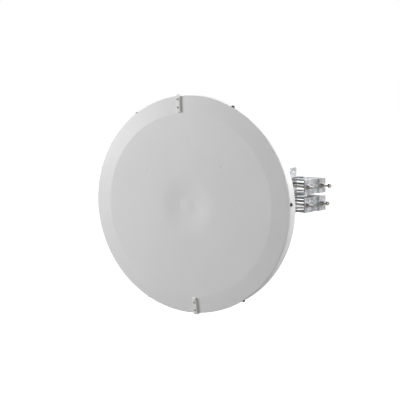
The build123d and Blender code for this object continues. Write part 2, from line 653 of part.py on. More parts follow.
with BuildPart() as azimuth_bracket:
    block((HEAD_WEB_X, HEAD_FRONT_Y, HEAD_BOTTOM_Z), (WEB_INNER_X, HEAD_REAR_Y, HEAD_TOP_Z))
    block((HEAD_WEB_X, HEAD_REAR_Y, DISH_Z - LUG[1]), (WEB_INNER_X, LUG_Y[1], DISH_Z + LUG[1]))
    for up in (1, -1):
        heights = sorted((DISH_Z + up * LUG[0], DISH_Z + up * LUG[1]))
        block((HEAD_WEB_X - 12, LUG_Y[0], heights[0]), (WEB_INNER_X, LUG_Y[1], heights[1]))
    rod((EAR_MID_X, SCREW_Y, DISH_Z - LUG[1]), (0, 0, 1), RUNNING_R, 2 * LUG[1], mode=Mode.SUBTRACT)
    for floor_z in HEAD_FLANGES:
        block((WEB_INNER_X, HEAD_FRONT_Y, floor_z), (PIVOT_X + 8, HEAD_REAR_Y, floor_z + STEEL))
        rod((PIVOT_X, PIVOT_Y, floor_z), (0, 0, 1), 21.0, STEEL)
        rod((PIVOT_X, PIVOT_Y, floor_z), (0, 0, 1), PIVOT_HOLE_R, STEEL, mode=Mode.SUBTRACT)
        arc_slot(
            (PIVOT_X, PIVOT_Y, floor_z + STEEL / 2), (0, 0, 1), (-1, 0, 0),
            AZIMUTH_LOCK_R, M8_HOLE_R, SWING + 1, STEEL,
        )
    block(
        (PIVOT_X - FINGER_HALF, HEAD_REAR_Y - 4, HEAD_TOP_Z - STEEL),
        (PIVOT_X + FINGER_HALF, SCREW_Y + 8, HEAD_TOP_Z + STEEL),
    )
    rod((HEAD_WEB_X, PIVOT_Y, DISH_Z), (1, 0, 0), M12_R, STEEL, mode=Mode.SUBTRACT)
    for up in (1, -1):
        rod((HEAD_WEB_X, PIVOT_Y, DISH_Z + up * LOCK_R), (1, 0, 0), M8_R, STEEL, mode=Mode.SUBTRACT)
save(azimuth_bracket, "azimuth_bracket")

EAR_OUTER_X = EAR_INNER_X - STEEL
with BuildPart() as elevation_pivot_bolt:
    hex_bolt((EAR_OUTER_X - 0.3, PIVOT_Y, DISH_Z), (1, 0, 0), M12_R, 20.0, 18.0, 6.0)
save(elevation_pivot_bolt, "elevation_pivot_bolt")

with BuildPart() as elevation_lock_bolts:
    for up in (1, -1):
        hex_bolt((EAR_OUTER_X - 0.3, PIVOT_Y, DISH_Z + up * LOCK_R), (1, 0, 0), M8_R, 18.0, 13.0, 5.3)
save(elevation_lock_bolts, "elevation_lock_bolts")

JAM_NUT = 4.0
with BuildPart() as elevation_nuts:
    hex_nut((WEB_INNER_X, PIVOT_Y, DISH_Z), (1, 0, 0), M12_R, 18.0, 8.0)
    for up in (1, -1):
        hex_nut((WEB_INNER_X, PIVOT_Y, DISH_Z + up * LOCK_R), (1, 0, 0), M8_R, 13.0, 5.0)
        hex_nut((EAR_MID_X, SCREW_Y, DISH_Z + up * LUG[1]), (0, 0, up), RUNNING_R, 13.0, JAM_NUT)
save(elevation_nuts, "elevation_nuts")


def set_screw(tip, direction, length):
    """An adjusting screw with a round tip; direction runs from the tip to the other end."""
    ball = Vector(*tip) + Vector(*direction) * M8_R
    with Locations(ball):
        Sphere(M8_R)
    rod(ball, direction, M8_R, length - M8_R)


ELEVATION_SCREW = LUG[1] + JAM_NUT + TRAVEL + 1.0 - FINGER_HALF - TIP_GAP
for screw_name, up in (("elevation_screw_upper", 1), ("elevation_screw_lower", -1)):
    with BuildPart() as elevation_screw:
        tip_z = DISH_Z + up * (FINGER_HALF + TIP_GAP)
        set_screw((EAR_MID_X, SCREW_Y, tip_z), (0, 0, up), ELEVATION_SCREW)
        head = (EAR_MID_X, SCREW_Y, tip_z + up * ELEVATION_SCREW)
        hex_rod(head, (0, 0, up), 13.0, 4.0)
    save(elevation_screw, screw_name)

# =====================================================================================
# Pole bracket, with the azimuth pivot and its adjusters
# =====================================================================================
PLATE = (-INNER_WEB - JAW_PLATE - STEEL, -INNER_WEB - JAW_PLATE)    # behind the inner jaws' webs
PLATE_HALF_WIDTH = JAW_HALF_WIDTH + 3.0
TONGUE_FLOORS = (TONGUE_TOP_Z - STEEL, TONGUE_BOTTOM_Z)
LOCK_Y = PIVOT_Y - AZIMUTH_LOCK_R
LUG_FOOT_Z = TONGUE_FLOORS[0]
LUG_TOP_Z = FINGER_Z + 9
LEFT_LUG_X = (-122.0, -112.0)
RIGHT_LUG_X = (-66.5, -58.5)
BOLT_HEIGHTS = (JAW_PITCH / 2, -JAW_PITCH / 2)
TONGUE_OUTLINE = [
    (PIVOT_X - 16, LOCK_Y - 10),
    (PIVOT_X + 26, LOCK_Y - 10),
    (PIVOT_X + 26, -40),
    tuple(clamp_point(PLATE[1], -20, 0))[:2],
    tuple(clamp_point(PLATE[0], -20, 0))[:2],
    tuple(clamp_point(PLATE[0], -50, 0))[:2],
    (PIVOT_X - 16, HEAD_REAR_Y),
]

with BuildPart() as pole_bracket:
    clamp_block(
        (PLATE[0], -PLATE_HALF_WIDTH, TONGUE_BOTTOM_Z),
        (PLATE[1], PLATE_HALF_WIDTH, TONGUE_TOP_Z),
    )
    clamp_block((PLATE[0], SAFETY_EYE[0] - 15, 0), (PLATE[1], PLATE_HALF_WIDTH, SAFETY_EYE[1] + 14))
    eye = clamp_point(PLATE[0], *SAFETY_EYE)
    rod(eye, CLAMP_OUT, SAFETY_EYE_R, STEEL, mode=Mode.SUBTRACT)
    for floor_z in TONGUE_FLOORS:
        with BuildSketch(Plane.XY.offset(floor_z)) as tongue:
            with BuildLine():
                Polyline(*TONGUE_OUTLINE, close=True)
            make_face()
        extrude(tongue.sketch, amount=STEEL)
        rod((PIVOT_X, PIVOT_Y, floor_z), (0, 0, 1), PIVOT_HOLE_R, STEEL, mode=Mode.SUBTRACT)
        rod((PIVOT_X, LOCK_Y, floor_z), (0, 0, 1), M8_R, STEEL, mode=Mode.SUBTRACT)
    block((LEFT_LUG_X[0], LUG_Y[0], LUG_FOOT_Z), (RIGHT_LUG_X[1], LUG_Y[1], TONGUE_TOP_Z))
    for lug_x in (LEFT_LUG_X, RIGHT_LUG_X):
        block((lug_x[0], LUG_Y[0], TONGUE_TOP_Z), (lug_x[1], LUG_Y[1], LUG_TOP_Z))
        lug_width = lug_x[1] - lug_x[0]
        rod((lug_x[0], SCREW_Y, FINGER_Z), (1, 0, 0), RUNNING_R, lug_width, mode=Mode.SUBTRACT)
    for bolt_z in BOLT_HEIGHTS:
        for across in (BOLT_ACROSS, -BOLT_ACROSS):
            rod(clamp_point(PLATE[0], across, bolt_z), CLAMP_OUT, M8_R, STEEL, mode=Mode.SUBTRACT)
save(pole_bracket, "pole_bracket")

SPACER_BOTTOM_Z = TONGUE_BOTTOM_Z + STEEL
SPACER_LENGTH = TONGUE_FLOORS[0] - SPACER_BOTTOM_Z
with BuildPart() as azimuth_spacer:
    rod((PIVOT_X, PIVOT_Y, SPACER_BOTTOM_Z), (0, 0, 1), 11.0, SPACER_LENGTH)
    rod((PIVOT_X, PIVOT_Y, SPACER_BOTTOM_Z), (0, 0, 1), PIVOT_HOLE_R, SPACER_LENGTH, mode=Mode.SUBTRACT)
save(azimuth_spacer, "azimuth_spacer")

PIVOT_BOLT_LENGTH = HEAD_TOP_Z - HEAD_BOTTOM_Z + 12
with BuildPart() as azimuth_pivot_bolt:
    hex_bolt((PIVOT_X, PIVOT_Y, HEAD_TOP_Z + 0.3), (0, 0, -1), M12_R, PIVOT_BOLT_LENGTH, 18.0, 7.5)
save(azimuth_pivot_bolt, "azimuth_pivot_bolt")

LOCK_PLACES = ((HEAD_TOP_Z + 0.3, -1), (HEAD_BOTTOM_Z - 0.3, 1))
with BuildPart() as azimuth_lock_bolts:
    for seat_z, up in LOCK_PLACES:
        hex_bolt((PIVOT_X, LOCK_Y, seat_z), (0, 0, up), M8_R, 22.0, 13.0, 5.3)
save(azimuth_lock_bolts, "azimuth_lock_bolts")

with BuildPart() as azimuth_nuts:
    hex_nut((PIVOT_X, PIVOT_Y, HEAD_BOTTOM_Z - 0.3), (0, 0, -1), M12_R, 18.0, 8.0)
    hex_nut((PIVOT_X, LOCK_Y, TONGUE_FLOORS[0]), (0, 0, -1), M8_R, 13.0, 6.5)
    hex_nut((PIVOT_X, LOCK_Y, SPACER_BOTTOM_Z), (0, 0, 1), M8_R, 13.0, 6.5)
    hex_nut((LEFT_LUG_X[0], SCREW_Y, FINGER_Z), (-1, 0, 0), RUNNING_R, 13.0, JAM_NUT)
    hex_nut((RIGHT_LUG_X[1], SCREW_Y, FINGER_Z), (1, 0, 0), RUNNING_R, 13.0, JAM_NUT)
save(azimuth_nuts, "azimuth_nuts")

AZIMUTH_TIP = FINGER_HALF + TIP_GAP
left_length = PIVOT_X - AZIMUTH_TIP - LEFT_LUG_X[0] + JAM_NUT + TRAVEL + 0.6
with BuildPart() as azimuth_screw_left:
    set_screw((PIVOT_X - AZIMUTH_TIP, SCREW_Y, FINGER_Z), (-1, 0, 0), left_length)
save(azimuth_screw_left, "azimuth_screw_left")

right_length = RIGHT_LUG_X[1] + JAM_NUT + TRAVEL + 0.3 - PIVOT_X - AZIMUTH_TIP
with BuildPart() as azimuth_screw_right:
    set_screw((PIVOT_X + AZIMUTH_TIP, SCREW_Y, FINGER_Z), (1, 0, 0), right_length)
save(azimuth_screw_right, "azimuth_screw_right")

# =====================================================================================
# Pole clamp: two pairs of jaws on four long bolts
# =====================================================================================
RECESS = 5.0                  # the outer jaws' middle stands this far back from their wings
RECESS_HALF = 15.0
RECESS_RUN = 7.0
JAW_OUTER = OUTER_WEB + JAW_PLATE


def clamp_jaw(side, near, middle_z, recess):
    """A channel-shaped jaw: a web across the pole and two saddle plates notched to fit it."""
    far = near + JAW_PLATE
    bend = RECESS_HALF + RECESS_RUN
    inner_line = [
        (near, -JAW_HALF_WIDTH), (near, -bend), (near - recess, -RECESS_HALF),
        (near - recess, RECESS_HALF), (near, bend), (near, JAW_HALF_WIDTH),
    ]
    outer_line = [
        (far, JAW_HALF_WIDTH), (far, bend - 1), (far - recess, RECESS_HALF - 1),
        (far - recess, 1 - RECESS_HALF), (far, 1 - bend), (far, -JAW_HALF_WIDTH),
    ]
    root = near + 1
    saddle_line = [
        (JAW_TIP, -SADDLE_HALF), (root, -SADDLE_HALF), (root, -bend), (root - recess, -RECESS_HALF),
        (root - recess, RECESS_HALF), (root, bend), (root, SADDLE_HALF), (JAW_TIP, SADDLE_HALF),
    ]
    bottom_z = middle_z - JAW_HEIGHT / 2
    with BuildSketch(CLAMP.offset(bottom_z)) as web:
        with BuildLine():
            Polyline(*[(side * out, across) for out, across in inner_line + outer_line], close=True)
        make_face()
    extrude(web.sketch, amount=JAW_HEIGHT)
    for floor_z in (bottom_z, bottom_z + JAW_HEIGHT - STEEL):
        with BuildSketch(CLAMP.offset(floor_z)) as saddle:
            with BuildLine():
                Polyline(*[(side * out, across) for out, across in saddle_line], close=True)
            make_face()
            Circle(POLE_R, mode=Mode.SUBTRACT)
        extrude(saddle.sketch, amount=STEEL)
    for across in (BOLT_ACROSS, -BOLT_ACROSS):
        start = clamp_point(side * near, across, middle_z)
        rod(start, CLAMP_OUT * side, M8_HOLE_R, JAW_PLATE, mode=Mode.SUBTRACT)


with BuildPart() as inner_jaw_upper:
    clamp_jaw(-1, INNER_WEB, BOLT_HEIGHTS[0], 0.0)
save(inner_jaw_upper, "inner_jaw_upper")

with BuildPart() as inner_jaw_lower:
    clamp_jaw(-1, INNER_WEB, BOLT_HEIGHTS[1], 0.0)
save(inner_jaw_lower, "inner_jaw_lower")

with BuildPart() as outer_jaw_upper:
    clamp_jaw(1, OUTER_WEB, BOLT_HEIGHTS[0], RECESS)
save(outer_jaw_upper, "outer_jaw_upper")

with BuildPart() as outer_jaw_lower:
    clamp_jaw(1, OUTER_WEB, BOLT_HEIGHTS[1], RECESS)
save(outer_jaw_lower, "outer_jaw_lower")

END_NUT = 6.5
NEAR_BOLT_END = JAW_OUTER + 20.0                        # the bolts on the antenna's side
FAR_BOLT_ENDS = (JAW_OUTER + 32.0, JAW_OUTER + 24.0)
with BuildPart() as clamp_bolts:
    for bolt_z, far_end in zip(BOLT_HEIGHTS, FAR_BOLT_ENDS):
        for across, end in ((-BOLT_ACROSS, NEAR_BOLT_END), (BOLT_ACROSS, far_end)):
            seat = clamp_point(PLATE[0], across, bolt_z)
            hex_bolt(seat, CLAMP_OUT, M8_R, end - PLATE[0], 13.0, 5.3)
save(clamp_bolts, "clamp_bolts")

with BuildPart() as clamp_end_nuts:
    for bolt_z, far_end in zip(BOLT_HEIGHTS, FAR_BOLT_ENDS):
        hex_nut(clamp_point(far_end - END_NUT, BOLT_ACROSS, bolt_z), CLAMP_OUT, M8_R, 13.0, END_NUT)
save(clamp_end_nuts, "clamp_end_nuts")

FLANGE = (9.0, 1.8)


def jaw_nuts(middle_z):
    """The two flange nuts that press one outer jaw home."""
    for across in (BOLT_ACROSS, -BOLT_ACROSS):
        seat = clamp_point(JAW_OUTER, across, middle_z)
        rod(seat, CLAMP_OUT, *FLANGE)
        hex_rod(seat + CLAMP_OUT * FLANGE[1], CLAMP_OUT, 13.0, 6.2)
        rod(seat, CLAMP_OUT, RUNNING_R, 8.0, mode=Mode.SUBTRACT)


with BuildPart() as upper_jaw_nuts:
    jaw_nuts(BOLT_HEIGHTS[0])
save(upper_jaw_nuts, "upper_jaw_nuts")

with BuildPart() as lower_jaw_nuts:
    jaw_nuts(BOLT_HEIGHTS[1])
save(lower_jaw_nuts, "lower_jaw_nuts")
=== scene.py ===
"""Outdoor wireless bridge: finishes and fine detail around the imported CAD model."""
import json
import math

import bmesh
import bpy
from mathutils import Matrix, Vector


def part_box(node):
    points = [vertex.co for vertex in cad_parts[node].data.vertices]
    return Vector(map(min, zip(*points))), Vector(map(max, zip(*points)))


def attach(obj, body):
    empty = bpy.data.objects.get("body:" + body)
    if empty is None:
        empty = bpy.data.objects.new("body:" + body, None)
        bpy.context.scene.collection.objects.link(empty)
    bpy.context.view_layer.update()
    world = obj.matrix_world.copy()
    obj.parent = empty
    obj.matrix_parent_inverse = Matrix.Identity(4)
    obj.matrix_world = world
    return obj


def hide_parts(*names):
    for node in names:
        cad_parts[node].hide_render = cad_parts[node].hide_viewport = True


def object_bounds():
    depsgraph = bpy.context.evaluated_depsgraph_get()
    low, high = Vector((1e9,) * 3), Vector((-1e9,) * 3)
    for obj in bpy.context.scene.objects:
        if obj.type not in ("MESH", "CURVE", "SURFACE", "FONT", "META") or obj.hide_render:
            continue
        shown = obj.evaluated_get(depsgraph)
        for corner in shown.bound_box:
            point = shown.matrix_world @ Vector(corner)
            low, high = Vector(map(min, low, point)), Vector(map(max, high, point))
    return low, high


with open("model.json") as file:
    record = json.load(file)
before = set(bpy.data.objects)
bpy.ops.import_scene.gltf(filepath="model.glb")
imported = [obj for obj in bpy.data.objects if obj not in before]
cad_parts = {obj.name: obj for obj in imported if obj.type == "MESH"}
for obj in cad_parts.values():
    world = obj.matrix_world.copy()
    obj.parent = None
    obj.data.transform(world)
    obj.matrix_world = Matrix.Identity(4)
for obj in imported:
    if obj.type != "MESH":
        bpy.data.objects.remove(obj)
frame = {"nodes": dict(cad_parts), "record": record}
CAD_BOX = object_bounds()
NODES = frame["nodes"]
RECORD = frame["record"]
BODY_OF = {node: body for body, nodes in RECORD["behaviour"]["bodies"].items() for node in nodes}
SLOT_OF = {subpart["node"]: subpart["material_slot"] for subpart in RECORD["subparts"]}
JOINTS = {joint["name"]: joint for joint in RECORD["behaviour"]["joints"]}
MM = 0.001
UP = Vector((0, 0, 1))


# ------------------------------------------------------------------ camera
DISH_LOW, DISH_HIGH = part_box("radome")
FEED_LOW, FEED_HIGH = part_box("sub_reflector")     # round, and so a good guide to the dish's axis
AXIS_X = (FEED_LOW.x + FEED_HIGH.x) / 2
AXIS_Z = (FEED_LOW.z + FEED_HIGH.z) / 2
RADIUS = (DISH_HIGH.x - DISH_LOW.x) / 2
FLAT_Y = DISH_LOW.y
SKIRT_BACK_Y = DISH_HIGH.y

VIEW_AZIMUTH = math.radians(28.37)   # the camera stands on the pole's side of the dish axis
VIEW_PITCH = math.radians(-6.66)
VIEW_ROLL = math.radians(1.1)
VIEW_LENS = 71.9
VIEW_SENSOR = 36.0
VIEW_PLACE = Vector((0.9641, -2.4835, 0.2943))
VIEW_CLIP_END = 200.0


def make_camera():
    data = bpy.data.cameras.new("camera")
    data.lens = VIEW_LENS
    data.sensor_width = VIEW_SENSOR
    data.clip_end = VIEW_CLIP_END
    camera = bpy.data.objects.new("camera", data)
    bpy.context.scene.collection.objects.link(camera)
    look = Matrix.Rotation(VIEW_AZIMUTH, 4, "Z") @ Matrix.Rotation(math.pi / 2 + VIEW_PITCH, 4, "X")
    camera.matrix_world = Matrix.Translation(VIEW_PLACE) @ look @ Matrix.Rotation(-VIEW_ROLL, 4, "Z")
    bpy.context.scene.camera = camera


make_camera()


# ------------------------------------------------------------------ materials
def new_material(name, colour, roughness, metallic=0.0):
    """A material with one principled shader; returns it, its node tree and that shader."""
    material = bpy.data.materials.new(name)
    material.use_nodes = True
    tree = material.node_tree
    shader = tree.nodes["Principled BSDF"]
    shader.inputs["Base Color"].default_value = (*colour, 1.0)
    shader.inputs["Roughness"].default_value = roughness
    shader.inputs["Metallic"].default_value = metallic
    return material, tree, shader


def object_coordinates(tree, scale=(1.0, 1.0, 1.0)):
    place = tree.nodes.new("ShaderNodeTexCoord")
    mapping = tree.nodes.new("ShaderNodeMapping")
    mapping.inputs["Scale"].default_value = scale
    tree.links.new(place.outputs["Object"], mapping.inputs["Vector"])
    return mapping.outputs["Vector"]


def noise(tree, vector, scale, detail=3.0):
    node = tree.nodes.new("ShaderNodeTexNoise")
    node.inputs["Scale"].default_value = scale
    node.inputs["Detail"].default_value = detail
    node.inputs["Roughness"].default_value = 0.5
    tree.links.new(vector, node.inputs["Vector"])
    return node.outputs["Fac"]


def cells(tree, vector, scale, output="Color"):
    node = tree.nodes.new("ShaderNodeTexVoronoi")
    node.inputs["Scale"].default_value = scale
    tree.links.new(vector, node.inputs["Vector"])
    return node.outputs[output]


def ramp(tree, value, stops):
    node = tree.nodes.new("ShaderNodeValToRGB")
    elements = node.color_ramp.elements
    while len(elements) < len(stops):
        elements.new(0.5)
    for element, (place, colour) in zip(elements, stops):
        element.position = place
        element.color = (*colour, 1.0)
    tree.links.new(value, node.inputs["Fac"])
    return node.outputs["Color"]


def spread(tree, value, low, high):
    """Maps a 0 to 1 value to low to high."""
    node = tree.nodes.new("ShaderNodeMapRange")
    node.inputs["To Min"].default_value = low
    node.inputs["To Max"].default_value = high
    tree.links.new(value, node.inputs["Value"])
    return node.outputs["Result"]


def bump(tree, shader, height, strength, distance):
    node = tree.nodes.new("ShaderNodeBump")
    node.inputs["Strength"].default_value = strength
    node.inputs["Distance"].default_value = distance
    tree.links.new(height, node.inputs["Height"])
    tree.links.new(node.outputs["Normal"], shader.inputs["Normal"])


def mottled(tree, shader, vector, colour, amount, scale):
    """Gives a colour a slight, slow variation."""
    dark = tuple(c * (1 - amount) for c in colour)
    light = tuple(min(1.0, c * (1 + amount)) for c in colour)
    value = noise(tree, vector, scale, detail=4.0)
    tree.links.new(ramp(tree, value, [(0.3, dark), (0.7, light)]), shader.inputs["Base Color"])


def moulded_plastic(name, colour, roughness):
    """Slightly grained plastic with a faint, slow change of tone and gloss."""
    material, tree, shader = new_material(name, colour, roughness)
    vector = object_coordinates(tree)
    mottled(tree, shader, vector, colour, amount=0.015, scale=6.0)
    gloss = spread(tree, noise(tree, vector, scale=30.0), roughness - 0.05, roughness + 0.05)
    tree.links.new(gloss, shader.inputs["Roughness"])
    bump(tree, shader, noise(tree, vector, scale=900.0), strength=0.08, distance=0.4 * MM)
    return material


def powder_coat(name, colour, roughness):
    """Paint with the fine orange peel of a baked powder."""
    material, tree, shader = new_material(name, colour, roughness)
    vector = object_coordinates(tree)
    mottled(tree, shader, vector, colour, amount=0.03, scale=12.0)
    peel = noise(tree, vector, scale=1400.0, detail=2.0)
    bump(tree, shader, peel, strength=0.25, distance=0.3 * MM)
    return material


ZINC_DARK = (0.28, 0.285, 0.3)
ZINC_MIDDLE = (0.43, 0.435, 0.45)
ZINC_LIGHT = (0.66, 0.665, 0.675)


def galvanised(name):
    """Zinc spangle: crystals of slightly different greys, with a cloudy dull bloom."""
    material, tree, shader = new_material(name, (0.55, 0.57, 0.59), 0.42, metallic=0.85)
    vector = object_coordinates(tree)
    crystal = tree.nodes.new("ShaderNodeSeparateColor")
    tree.links.new(cells(tree, vector, scale=130.0), crystal.inputs["Color"])
    cloud = noise(tree, vector, scale=35.0, detail=5.0)
    mixed = tree.nodes.new("ShaderNodeMath")
    mixed.operation = "MULTIPLY_ADD"
    mixed.inputs[1].default_value = 0.45      # the crystals' share beside the cloud
    tree.links.new(crystal.outputs["Red"], mixed.inputs[0])
    tree.links.new(cloud, mixed.inputs[2])
    stops = [(0.3, ZINC_DARK), (0.6, ZINC_MIDDLE), (0.95, ZINC_LIGHT)]
    tree.links.new(ramp(tree, mixed.outputs["Value"], stops), shader.inputs["Base Color"])
    tree.links.new(spread(tree, cloud, low=0.3, high=0.55), shader.inputs["Roughness"])
    bump(tree, shader, noise(tree, vector, scale=260.0), strength=0.15, distance=0.4 * MM)
    return material


def drawn_metal(name, colour, roughness, stretch=(1.0, 1.0, 1.0), metallic=1.0):
    """Bare metal with a fine grain, drawn into lines by stretch, and slight staining."""
    material, tree, shader = new_material(name, colour, roughness, metallic=metallic)
    lines = noise(tree, object_coordinates(tree, stretch), scale=900.0, detail=2.0)
    mottled(tree, shader, object_coordinates(tree), colour, amount=0.12, scale=90.0)
    tree.links.new(spread(tree, lines, roughness - 0.08, roughness + 0.12), shader.inputs["Roughness"])
    bump(tree, shader, lines, strength=0.1, distance=0.2 * MM)
    return material


RUBBER_BLACK = (0.03, 0.03, 0.032)


def rubber(name):
    material, tree, shader = new_material(name, RUBBER_BLACK, 0.7)
    vector = object_coordinates(tree)
    mottled(tree, shader, vector, RUBBER_BLACK, amount=0.2, scale=60.0)
    bump(tree, shader, noise(tree, vector, scale=700.0), strength=0.2, distance=0.4 * MM)
    return material


BOARD_DARK = (0.02, 0.12, 0.05)
BOARD_LIGHT = (0.03, 0.22, 0.1)


def circuit_board(name):
    material, tree, shader = new_material(name, (0.02, 0.16, 0.07), 0.35)
    tracks = cells(tree, object_coordinates(tree), scale=180.0, output="Distance")
    stops = [(0.1, BOARD_DARK), (0.5, BOARD_LIGHT)]
    tree.links.new(ramp(tree, tracks, stops), shader.inputs["Base Color"])
    return material


FINISH = {
    "radome_plastic": moulded_plastic("radome_plastic", (0.748, 0.74, 0.742), 0.4),
    "clip_plastic": moulded_plastic("clip_plastic", (0.8, 0.8, 0.78), 0.36),
    "painted_aluminium": powder_coat("painted_aluminium", (0.5, 0.51, 0.52), 0.45),
    "radio_paint": powder_coat("radio_paint", (0.58, 0.58, 0.57), 0.5),
    "galvanised_steel": galvanised("galvanised_steel"),
    "stainless_steel": drawn_metal("stainless_steel", (0.66, 0.64, 0.61), 0.22, stretch=(1.0, 6.0, 6.0)),
    "dark_fastener": drawn_metal("dark_fastener", (0.06, 0.06, 0.06), 0.45, metallic=0.6),
    "cast_aluminium": drawn_metal("cast_aluminium", (0.6, 0.61, 0.62), 0.5, metallic=0.9),
    "bare_aluminium": drawn_metal("bare_aluminium", (0.75, 0.76, 0.77), 0.3),
    "latch_steel": drawn_metal("latch_steel", (0.62, 0.62, 0.63), 0.28),
    "black_rubber": rubber("black_rubber"),
    "black_plastic": moulded_plastic("black_plastic", (0.04, 0.04, 0.042), 0.45),
    "feed_dielectric": moulded_plastic("feed_dielectric", (0.85, 0.85, 0.82), 0.35),
    "circuit_board": circuit_board("circuit_board"),
}


def finish_with(piece, slot_name):
    """Gives a piece the one material of its slot."""
    piece.data.materials.clear()
    piece.data.materials.append(FINISH[slot_name])


for node_name, node_object in NODES.items():
    finish_with(node_object, SLOT_OF[node_name])


# ------------------------------------------------------------------ mesh helpers
def add_piece(name, mesh, body, slot_name, replaced=(), smooth_angle=35.0):
    """Puts a mesh in the scene, shades it, and gives it its body, slot and replaced nodes."""
    piece = bpy.data.objects.new(name, mesh)
    bpy.context.scene.collection.objects.link(piece)
    for polygon in mesh.polygons:
        polygon.use_smooth = True
    mesh.set_sharp_from_angle(angle=math.radians(smooth_angle))
    finish_with(piece, slot_name)
    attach(piece, body)
    if replaced:
        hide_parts(*replaced)
    return piece


def mesh_from(name, build):
    """Makes a mesh from a function that fills a bmesh."""
    work = bmesh.new()
    build(work)
    bmesh.ops.recalc_face_normals(work, faces=work.faces)
    mesh = bpy.data.meshes.new(name)
    work.to_mesh(mesh)
    work.free()
    return mesh


ON_AXIS = 1e-7          # a profile point nearer the axis than this is a single vertex


def ring(work, centre, radius, out, side, steps):
    """A ring of vertices, or a single one at the centre where the radius is nothing."""
    if radius < ON_AXIS:
        return [work.verts.new(centre)]
    row = []
    for k in range(steps):
        angle = 2 * math.pi * k / steps
        away = out * math.cos(angle) + side * math.sin(angle)
        row.append(work.verts.new(centre + away * radius))
    return row


def lathe(work, profile, axis_point, axis, out, steps):
    """Turns a closed (radius, height) profile about an axis."""
    side = axis.cross(out)
    rows = [ring(work, axis_point + axis * height, radius, out, side, steps) for radius, height in profile]
    for first, second in zip(rows, rows[1:] + rows[:1]):
        if len(first) == 1 and len(second) == 1:
            continue
        for k in range(steps):
            n = (k + 1) % steps
            near = [first[k % len(first)], first[n % len(first)]]
            far = [second[n % len(second)], second[k % len(second)]]
            work.faces.new(list(dict.fromkeys(near + far)))


def arc(centre, radius, start, stop, count):
    """Points on an arc of a profile; start and stop are in degrees."""
    points = []
    for k in range(count + 1):
        angle = math.radians(start + (stop - start) * k / count)
        points.append((centre[0] + radius * math.cos(angle), centre[1] + radius * math.sin(angle)))
    return points


DISH_OUT = Vector((1, 0, 0))
DISH_AXIS = Vector((0, 1, 0))
DISH_ORIGIN = Vector((AXIS_X, 0, AXIS_Z))


# ------------------------------------------------------------------ radome and reflector
WALL = 3.0 * MM
EDGE_ROUND = 2.6 * MM
BEVEL_INNER = RADIUS - 54.5 * MM
BEVEL_RISE = 5.0 * MM
EDGE_Y = FLAT_Y + BEVEL_RISE
DIP = 3.9 * MM              # the face is drawn in a little round its middle
DIP_R = 98.0 * MM
DISC_R = 22.0 * MM
DISC_STEP = 0.12 * MM
GROOVE_DEPTH = 1.8 * MM     # a shadow line behind the edge, round the skirt
GROOVE_WIDTH = 3.0 * MM
GROOVE_SLOPE = 0.3 * MM
SKIRT_EDGE_OUT = 0.6 * MM   # chamfers on the skirt's back edge
SKIRT_EDGE_IN = 0.5 * MM
SKIRT_EDGE_FLAT = 0.4 * MM
CRISP = 0.8 * MM            # extra rings beside each bend keep the faces between them flat
CRISP_FAR = 4 * CRISP
DIP_RUNOUT = 6.0 * MM       # from the dip's edge to the first ring of the flat face
DIP_RINGS = 24
RADOME_STEPS = 256


def dip_shape(radius):
    """1 at the middle disc, falling smoothly to 0 at the edge of the dip."""
    share = (DIP_R - radius) / (DIP_R - DISC_R)
    return share**2 * (3 - 2 * share)


def bevel_point(radius):
    """A point on the sloping ring between the flat face and the rounded edge."""
    share = (radius - BEVEL_INNER) / (RADIUS - EDGE_ROUND - BEVEL_INNER)
    return (radius, FLAT_Y + BEVEL_RISE * share)


def face_profile():
    """The middle disc, the dip round it, the flat face and the bevel."""
    bevel_outer = RADIUS - EDGE_ROUND
    points = [(0.0, FLAT_Y + DIP), (DISC_R - CRISP, FLAT_Y + DIP)]
    for k in range(DIP_RINGS + 1):
        radius = DISC_R + CRISP + (DIP_R - DISC_R - CRISP) * k / DIP_RINGS
        points.append((radius, FLAT_Y + (DIP + DISC_STEP) * dip_shape(radius)))
    points += [(DIP_R + DIP_RUNOUT, FLAT_Y), (BEVEL_INNER - CRISP_FAR, FLAT_Y)]
    points += [(BEVEL_INNER - CRISP, FLAT_Y)]
    points += [bevel_point(BEVEL_INNER + CRISP), bevel_point(BEVEL_INNER + CRISP_FAR)]
    points += [bevel_point(bevel_outer - CRISP_FAR), bevel_point(bevel_outer - CRISP)]
    return points


def skirt_profile():
    """The rounded edge, the shadow line and the skirt back to its rear edge."""
    rim_centre = (RADIUS - EDGE_ROUND, EDGE_Y + EDGE_ROUND)
    groove_y = rim_centre[1] + CRISP
    groove_back_y = groove_y + GROOVE_WIDTH
    points = arc(rim_centre, EDGE_ROUND, start=-84, stop=0, count=6)
    points += [(RADIUS, groove_y), (RADIUS - GROOVE_DEPTH, groove_y + GROOVE_SLOPE)]
    points += [(RADIUS - GROOVE_DEPTH, groove_back_y), (RADIUS, groove_back_y + GROOVE_SLOPE)]
    points += [(RADIUS, SKIRT_BACK_Y - SKIRT_EDGE_OUT), (RADIUS - SKIRT_EDGE_OUT, SKIRT_BACK_Y)]
    return points


def inner_profile():
    """The inside of the radome, from the skirt's back edge in to the axis."""
    inner_r = RADIUS - WALL
    inner_y = FLAT_Y + WALL
    points = [(inner_r + SKIRT_EDGE_FLAT, SKIRT_BACK_Y), (inner_r, SKIRT_BACK_Y - SKIRT_EDGE_IN)]
    points += [(inner_r, EDGE_Y + WALL), (BEVEL_INNER, inner_y), (DIP_R, inner_y)]
    points += [(DISC_R, inner_y + DIP), (0.0, inner_y + DIP)]
    return points


def radome_profile():
    return face_profile() + skirt_profile() + inner_profile()


def build_radome():
    mesh = mesh_from("radome_shell", lambda work: lathe(
        work, radome_profile(), DISH_ORIGIN, DISH_AXIS, DISH_OUT, RADOME_STEPS))
    add_piece("radome_shell", mesh, "antenna", "radome_plastic", ["radome"], smooth_angle=60.0)


build_radome()

